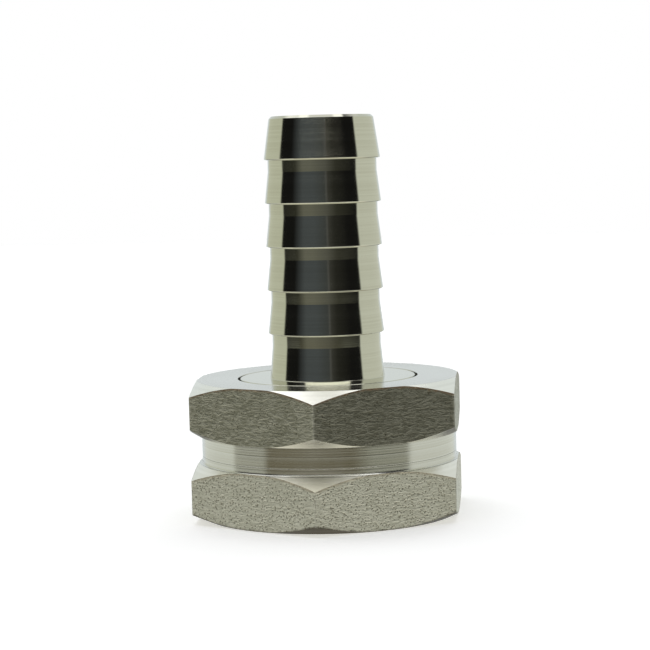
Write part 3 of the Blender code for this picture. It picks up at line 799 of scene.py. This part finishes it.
# ------------------------
# Grit screen. A stamped stainless disc with nineteen holes that lies on the step in the
# bore and keeps grit from the hose off the valve's seat.
# ------------------------
SCREEN_HOLE_R = 0.45
SCREEN_ROWS = ((0.0, 1), (1.6, 6), (3.2, 12))
PLATE_STEPS = 96
HOLE_STEPS = 28


def thicken(bm, height):
    """Turn a flat sheet into a plate of this thickness."""
    made = bmesh.ops.extrude_face_region(bm, geom=bm.faces[:], use_keep_orig=True)
    lifted = [item for item in made["geom"] if isinstance(item, bmesh.types.BMVert)]
    bmesh.ops.translate(bm, vec=(0, 0, height), verts=lifted)


def holed_plate(bm, rim_r, rows, low, high, ease):
    """A round plate with rows of (ring radius, number, hole radius) holes, eased all round."""
    bmesh.ops.create_circle(bm, segments=PLATE_STEPS, radius=rim_r)
    for ring_r, count, hole_r in rows:
        for hole in range(count):
            turn = math.tau * (hole + 0.5) / count
            place = Matrix.Translation((ring_r * math.cos(turn), ring_r * math.sin(turn), 0.0))
            bmesh.ops.create_circle(bm, segments=HOLE_STEPS, radius=hole_r, matrix=place)
    bmesh.ops.triangle_fill(bm, use_beauty=True, use_dissolve=False, edges=bm.edges[:])
    bmesh.ops.translate(bm, vec=(0, 0, low), verts=bm.verts)
    thicken(bm, high - low)
    bmesh.ops.recalc_face_normals(bm, faces=bm.faces)
    bm.normal_update()
    rims = [edge for edge in bm.edges if edge.is_manifold and edge.calc_face_angle() > 1.0]
    ease_edges(bm, rims, ease)


screen_low, screen_high = extent("inlet_screen")
bm = bmesh.new()
holed_plate(bm, screen_high.x, [(ring_r, count, SCREEN_HOLE_R) for ring_r, count in SCREEN_ROWS],
            screen_low.z, screen_high.z, ease=0.05)
screen_steel = drawn_wire("stamped_sheet_steel", (0.62, 0.61, 0.57, 1), 0.34)
weigh_normals(add_piece("grit_screen", bm, "tail", "inlet_screen", "turned_stainless",
                        screen_steel))

# ------------------------
# Seat sleeve. White acetal, turned to a close fit in the bore, with the conical seat near
# its top and a groove outside for its O-ring.
# ------------------------
SLEEVE_BORE_R = 4.2
SLEEVE_RING_Z = 28.0
SLEEVE_GROOVE_R = 4.1
SLEEVE_GROOVE_HALF = 0.6
SEAT_R = 2.4
SEAT_TOP = 27.0
SEAT_BOTTOM = 25.6
SEAT_FUNNEL = 0.6
sleeve_low, sleeve_high = extent("valve_sleeve")
sleeve_r = sleeve_high.x
acetal = moulded("white_acetal", (0.86, 0.86, 0.83, 1), (0.78, 0.78, 0.74, 1),
                 roughness=0.34, spread=0.08, size=2.5, grain=0.10, depth=0.008)
bm = bmesh.new()
lathe(bm, [
    (SLEEVE_BORE_R, sleeve_low.z, 0.15), (sleeve_r, sleeve_low.z, 0.2),
    (sleeve_r, SLEEVE_RING_Z - SLEEVE_GROOVE_HALF, 0.08),
    (SLEEVE_GROOVE_R, SLEEVE_RING_Z - SLEEVE_GROOVE_HALF, 0.1),
    (SLEEVE_GROOVE_R, SLEEVE_RING_Z + SLEEVE_GROOVE_HALF, 0.1),
    (sleeve_r, SLEEVE_RING_Z + SLEEVE_GROOVE_HALF, 0.08), (sleeve_r, sleeve_high.z, 0.2),
    (SEAT_R + SEAT_FUNNEL, sleeve_high.z, 0.08), (SEAT_R, sleeve_high.z - SEAT_FUNNEL, 0.1),
    (SEAT_R, SEAT_TOP, 0.1), (SLEEVE_BORE_R, SEAT_BOTTOM, 0.1),
], steps=PLATE_STEPS)
add_piece("seat_sleeve", bm, "tail", "valve_sleeve", "white_acetal", acetal)

# ------------------------
# Sleeve O-ring. Black nitrile ring in the sleeve's groove, so that gas can't pass outside
# the seat. Like every moulded ring it has a fine flash line round its middle.
# ------------------------
SECTION_STEPS = 24
FLASH = 0.03
nitrile = moulded("black_nitrile", (0.030, 0.030, 0.030, 1), (0.016, 0.016, 0.016, 1),
                  roughness=0.40, spread=0.10, size=1.0, grain=0.05, depth=0.01)


def o_ring(node, name, body):
    """A moulded ring of the frame's size, with its flash line inside and outside."""
    low, high = extent(node)
    wire = (high.z - low.z) / 2
    centre_r = high.x - wire
    middle = (high.z + low.z) / 2
    section = []
    for k in range(SECTION_STEPS):
        turn = math.tau * k / SECTION_STEPS
        flash = FLASH if k % (SECTION_STEPS // 2) == 0 else 0.0
        reach = wire - FLASH + flash
        section.append((centre_r + reach * math.cos(turn), middle + reach * math.sin(turn)))
    bm = bmesh.new()
    lathe(bm, section, steps=PLATE_STEPS)
    add_piece(name, bm, body, node, "black_rubber", nitrile)


o_ring("sleeve_oring", "sleeve_o_ring", "tail")

# ------------------------
# Stem guide. An acetal plate with a hole for the stem and four gas holes. The closing
# spring stands on it.
# ------------------------
GUIDE_HOLE_R = 1.2
GAS_HOLES = 4
GAS_HOLE_R = 0.95
GAS_HOLE_RING_R = 3.0
guide_low, guide_high = extent("valve_guide")
bm = bmesh.new()
holed_plate(bm, guide_high.x, [(0.0, 1, GUIDE_HOLE_R), (GAS_HOLE_RING_R, GAS_HOLES, GAS_HOLE_R)],
            guide_low.z, guide_high.z, ease=0.10)
weigh_normals(add_piece("stem_guide", bm, "tail", "valve_guide", "white_acetal", acetal))

# ------------------------
# Bore circlip. Stamped from spring strip, with a lug and a plier hole at each end. It
# snaps into the groove and holds the whole valve in the bore.
# ------------------------
CLIP_BORE_R = 4.5
CLIP_ARC_DEG = 300.0
LUG_R = 0.78
LUG_RING_R = 4.72
LUG_HOLE_R = 0.34
LUG_TURN_DEG = 9.0
LUG_LEAN_DEG = 50
LUG_HALF_DEG = 12
LUG_STEPS = 16
LUG_HOLE_STEPS = 20
CLIP_STEPS = 90
CLIP_BORE_STEPS = 80
clip_low, clip_high = extent("valve_circlip")


def arc(centre, radius, start, end, count):
    """Points along an arc, with angles in degrees."""
    turns = [math.radians(start + (end - start) * k / count) for k in range(count + 1)]
    return [(centre[0] + radius * math.cos(turn), centre[1] + radius * math.sin(turn))
            for turn in turns]


def lug_centre(turn):
    """The middle of a lug at this angle round the circlip, in degrees."""
    return (LUG_RING_R * math.cos(math.radians(turn)), LUG_RING_R * math.sin(math.radians(turn)))


first_lug = LUG_TURN_DEG
last_lug = CLIP_ARC_DEG - LUG_TURN_DEG
last_start = CLIP_ARC_DEG + LUG_LEAN_DEG
ring = arc((0, 0), clip_high.x, 0.0, CLIP_ARC_DEG, CLIP_STEPS)
ring += arc(lug_centre(last_lug), LUG_R, last_start, last_start + 180, LUG_STEPS)
ring += arc((0, 0), CLIP_BORE_R, last_lug - LUG_HALF_DEG, first_lug + LUG_HALF_DEG,
            CLIP_BORE_STEPS)
ring += arc(lug_centre(first_lug), LUG_R, 180 - LUG_LEAN_DEG, 360 - LUG_LEAN_DEG, LUG_STEPS)
bm = bmesh.new()
verts = [bm.verts.new((x, y, clip_low.z)) for x, y in ring]
for pair in zip(verts, verts[1:] + verts[:1]):
    bm.edges.new(pair)
for turn in (first_lug, last_lug):
    x, y = lug_centre(turn)
    bmesh.ops.create_circle(bm, segments=LUG_HOLE_STEPS, radius=LUG_HOLE_R,
                            matrix=Matrix.Translation((x, y, clip_low.z)))
bmesh.ops.triangle_fill(bm, use_beauty=True, use_dissolve=False, edges=bm.edges[:])
thicken(bm, clip_high.z - clip_low.z)
clip_steel = drawn_wire("stamped_spring_steel", (0.42, 0.40, 0.37, 1), 0.34)
weigh_normals(add_piece("bore_circlip", bm, "tail", "valve_circlip", "spring_steel", clip_steel))

# ------------------------
# Closing spring. Stainless wire coiled to four open turns, with closed ends ground flat.
# It stands on the guide and presses the valve's head up to its seat.
# ------------------------
SPRING_WIRE_R = 0.25
SPRING_R = 2.1
SPRING_TURNS = 4.0
END_TURNS = 0.75
END_PITCH = 0.55
COIL_STEPS = 40
COIL_SIDES = 16
spring_low, spring_high = extent("valve_spring")
low = spring_low.z + SPRING_WIRE_R
high = spring_high.z - SPRING_WIRE_R
end_rise = END_PITCH * END_TURNS
end = (math.tau * END_TURNS, round(COIL_STEPS * END_TURNS), end_rise)
middle = (math.tau * SPRING_TURNS, round(COIL_STEPS * SPRING_TURNS), high - low - 2 * end_rise)
bm = bmesh.new()
sweep(bm, COIL_SIDES, SPRING_WIRE_R, SPRING_R, low, [end, middle, end])
spring_wire = drawn_wire("spring_wire_steel", (0.58, 0.58, 0.57, 1), 0.24)
closing_spring = add_piece("closing_spring", bm, "tail", "valve_spring", "spring_steel",
                           spring_wire)
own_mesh(closing_spring)

# ------------------------
# Valve stem. Turned in one piece: a thin stem that slides in the guide, a flat head, and
# a grooved post that holds the seat's O-ring. Gas from the hose pushes it down.
# ------------------------
STEM_R = 1.0
HEAD_BOTTOM = 23.7
HEAD_TOP = 25.4
POST_R = 2.15
POST_TOP = 26.5
POST_LIP_R = 2.45
POST_LIP_BACK = 0.12
POST_LIP_TALL = 0.2
stem_low, stem_high = extent("valve_poppet")
bm = bmesh.new()
lathe(bm, [
    (0.0, stem_low.z), (STEM_R, stem_low.z, 0.25), (STEM_R, HEAD_BOTTOM, 0.12),
    (stem_high.x, HEAD_BOTTOM, 0.15), (stem_high.x, HEAD_TOP, 0.15), (POST_R, HEAD_TOP, 0.1),
    (POST_R, POST_TOP, 0.08), (POST_LIP_R, POST_TOP, 0.05),
    (POST_LIP_R - POST_LIP_BACK, POST_TOP + POST_LIP_TALL),
    (STEM_R, stem_high.z, 0.15), (0.0, stem_high.z),
], closed=False, steps=PLATE_STEPS)
stem_steel = turned_steel("stem_turned_steel", (0.64, 0.63, 0.59, 1), (0.50, 0.49, 0.44, 1),
                          roughness=0.18, spread=0.05, spacing=0.12, depth=0.004)
add_piece("valve_stem", bm, "poppet", "valve_poppet", "turned_stainless", stem_steel,
          sharp=TURNED_SHARP)

# ------------------------
# Seat O-ring. The small nitrile ring in the post's groove that shuts against the cone.
# ------------------------
o_ring("poppet_oring", "seat_o_ring", "poppet")

# ------------------------
# Floor, light and camera. A pale floor that only catches a soft shadow, a studio of large
# soft panels at both sides and overhead with a dark room in front, and a long lens.
# ------------------------
CAMERA_TURN = math.radians(5.63)
CAMERA_DISTANCE = 0.2551
CAMERA_HEIGHT = 0.0447
AIM_HEIGHT = 0.0233
AIM_ASIDE = -0.00016
CAMERA_ROLL = math.radians(-1.52)
LENS = 114.4
FLOOR_SIZE = 1.6
FLOOR_GLOW = 0.34

camera_data = bpy.data.cameras.new("camera")
camera_data.sensor_width = 36.0
camera_data.lens = LENS
camera_data.clip_start = 0.01
camera_data.clip_end = 10.0
camera = bpy.data.objects.new("camera", camera_data)
bpy.context.scene.collection.objects.link(camera)
camera.location = (CAMERA_DISTANCE * math.sin(CAMERA_TURN),
                   -CAMERA_DISTANCE * math.cos(CAMERA_TURN), CAMERA_HEIGHT)
aim = Vector((AIM_ASIDE, 0.0, AIM_HEIGHT))
camera.rotation_mode = "QUATERNION"
camera.rotation_quaternion = ((aim - camera.location).to_track_quat("-Z", "Y")
                              @ Quaternion((0, 0, 1), CAMERA_ROLL))
bpy.context.scene.camera = camera
bpy.context.scene.view_settings.view_transform = "Standard"

bm = bmesh.new()
bmesh.ops.create_grid(bm, x_segments=8, y_segments=8, size=FLOOR_SIZE / 2)
floor_mesh = bpy.data.meshes.new("floor")
bm.to_mesh(floor_mesh)
bm.free()
floor = bpy.data.objects.new("floor", floor_mesh)
bpy.context.scene.collection.objects.link(floor)
floor.visible_glossy = False
floor.visible_diffuse = False
floor.visible_shadow = False
floor_paper, tree, shader = new_material("floor_paper")
set_inputs(tree, shader, {"Base Color": (0.98, 0.98, 1.0, 1), "Emission Color": WHITE,
                          "Emission Strength": FLOOR_GLOW, "Roughness": 1.0,
                          "Specular IOR Level": 0.0})
clear = add_node(tree, "BsdfTransparent")
under = add_node(tree, "NewGeometry").outputs["Backfacing"]
mixed = add_node(tree, "MixShader", {0: under, 1: shader.outputs[0], 2: clear.outputs[0]})
set_inputs(tree, tree.nodes["Material Output"], {"Surface": mixed.outputs[0]})
floor_mesh.materials.append(floor_paper)


def panels(tree, turn, stops):
    """Colours round the room: a ramp over the angle from the camera's side, in degrees."""
    node = tree.nodes.new("ShaderNodeValToRGB")
    tree.links.new(turn, node.inputs[0])
    ramp = node.color_ramp
    ramp.elements[0].color = (*stops[0][1], 1)
    ramp.elements[1].color = (*stops[-1][1], 1)
    for angle, colour in stops[1:-1]:
        ramp.elements.new((angle + 180) / 360).color = (*colour, 1)
    return node.outputs[0]


def mirrored(stops):
    """Stops on one side of the camera, from behind to in front, and the same on the other."""
    return stops + [(-angle, colour) for angle, colour in reversed(stops)]


def room_light():
    """Ramps of colour stacked from the table to the ceiling, each blended into the next at
    its own height. The background that the camera sees is white."""
    world = bpy.data.worlds.new("studio")
    bpy.context.scene.world = world
    world.use_nodes = True
    tree = world.node_tree
    beige = (0.75, 0.77, 0.69)
    shade = (0.69, 0.71, 0.59)
    pale = (0.84, 0.87, 0.80)
    cool = (0.76, 0.81, 0.82)
    soot = (0.010, 0.010, 0.010)
    dusk = (0.085, 0.096, 0.108)
    dim = (0.05, 0.05, 0.05)
    lamp = (1.9, 1.9, 1.75)
    table_end = (0.12, 0.10, 0.07)
    ray = add_node(tree, "TexCoord").outputs["Generated"]
    ray = add_node(tree, "VectorRotate", {"Vector": ray, "Angle": -CAMERA_TURN},
                   rotation_type="Z_AXIS").outputs[0]
    axes = add_node(tree, "SeparateXYZ", {0: ray}).outputs
    turn = calc(tree, "ARCTAN2", axes[0], calc(tree, "MULTIPLY", axes[1], -1.0))
    turn = calc(tree, "MULTIPLY_ADD", turn, 1 / math.tau, 0.5)
    height = calc(tree, "MULTIPLY", calc(tree, "ARCSINE", axes[2]), math.degrees(1.0))
    table = panels(tree, turn, mirrored([
        (-180, table_end), (-140, table_end), (-110, (1.2, 1.16, 1.02))]))
    low = panels(tree, turn, mirrored([
        (-180, (0.16, 0.16, 0.15)), (-150, (0.20, 0.20, 0.19)), (-120, (0.7, 0.7, 0.65)),
        (-60, (0.9, 0.89, 0.80))]))
    sunk = panels(tree, turn, [
        (-180, cool), (-157, cool), (-148, pale), (-97, pale), (-93, (0.60, 0.61, 0.52)),
        (-62, (0.58, 0.59, 0.50)), (-56, (0.20, 0.175, 0.105)), (20, (0.18, 0.16, 0.095)),
        (38, (0.42, 0.43, 0.35)), (73, (0.48, 0.49, 0.40)), (78, pale), (148, pale),
        (157, cool), (180, cool)])
    level = panels(tree, turn, [
        (-180, cool), (-157, cool), (-148, shade), (-95, shade), (-92, (0.03, 0.03, 0.025)),
        (-60, (0.04, 0.04, 0.03)), (-42, (0.18, 0.18, 0.15)), (-25, (0.18, 0.18, 0.15)),
        (6, (0.12, 0.12, 0.105)), (28, (0.045, 0.045, 0.035)), (74, soot), (77, beige),
        (148, beige), (157, cool), (180, cool)])
    raised = panels(tree, turn, [
        (-180, cool), (-157, cool), (-148, shade), (-95, shade), (-92, soot), (-64, soot),
        (-42, dusk), (-20, dusk), (4, (0.062, 0.068, 0.07)), (7, (0.11, 0.11, 0.11)),
        (10, (0.055, 0.055, 0.05)), (22, (0.026, 0.026, 0.022)), (50, soot),
        (74, soot), (77, beige), (148, beige), (157, cool), (180, cool)])
    strip = panels(tree, turn, [
        (-180, cool), (-95, beige), (-88, dim), (-50, dim), (-45, lamp), (45, lamp),
        (50, dim), (75, dim), (82, beige), (180, cool)])
    lofty = panels(tree, turn, [
        (-180, cool), (-110, beige), (-90, (0.25, 0.25, 0.23)), (-30, (0.10, 0.10, 0.10)),
        (75, dim), (95, beige), (180, cool)])
    ceiling = panels(tree, turn, [
        (-180, (1.6, 1.6, 1.6)), (-145, (1.6, 1.6, 1.6)), (-110, (1.2, 1.2, 1.2)),
        (-60, (0.8, 0.8, 0.8)), (30, (0.5, 0.5, 0.5)), (65, (0.15, 0.15, 0.15)),
        (118, (0.15, 0.15, 0.15)), (145, (1.6, 1.6, 1.6)), (180, (1.6, 1.6, 1.6))])
    colour = table
    for start, end, higher in (
            (-42.0, -34.0, low), (-16.0, -12.0, sunk), (-7.5, -5.5, level), (0.5, 2.5, raised),
            (20.0, 21.5, strip), (24.0, 27.0, lofty), (42.0, 54.0, ceiling),
            (63.0, 67.0, (1.7, 1.7, 1.7, 1)), (74.0, 78.0, WHITE)):
        colour = blend_colour(tree, fade(tree, height, start, end), colour, higher)
    seen = add_node(tree, "LightPath").outputs["Is Camera Ray"]
    colour = blend_colour(tree, seen, colour, WHITE)
    set_inputs(tree, tree.nodes["Background"], {"Color": colour})


room_light()
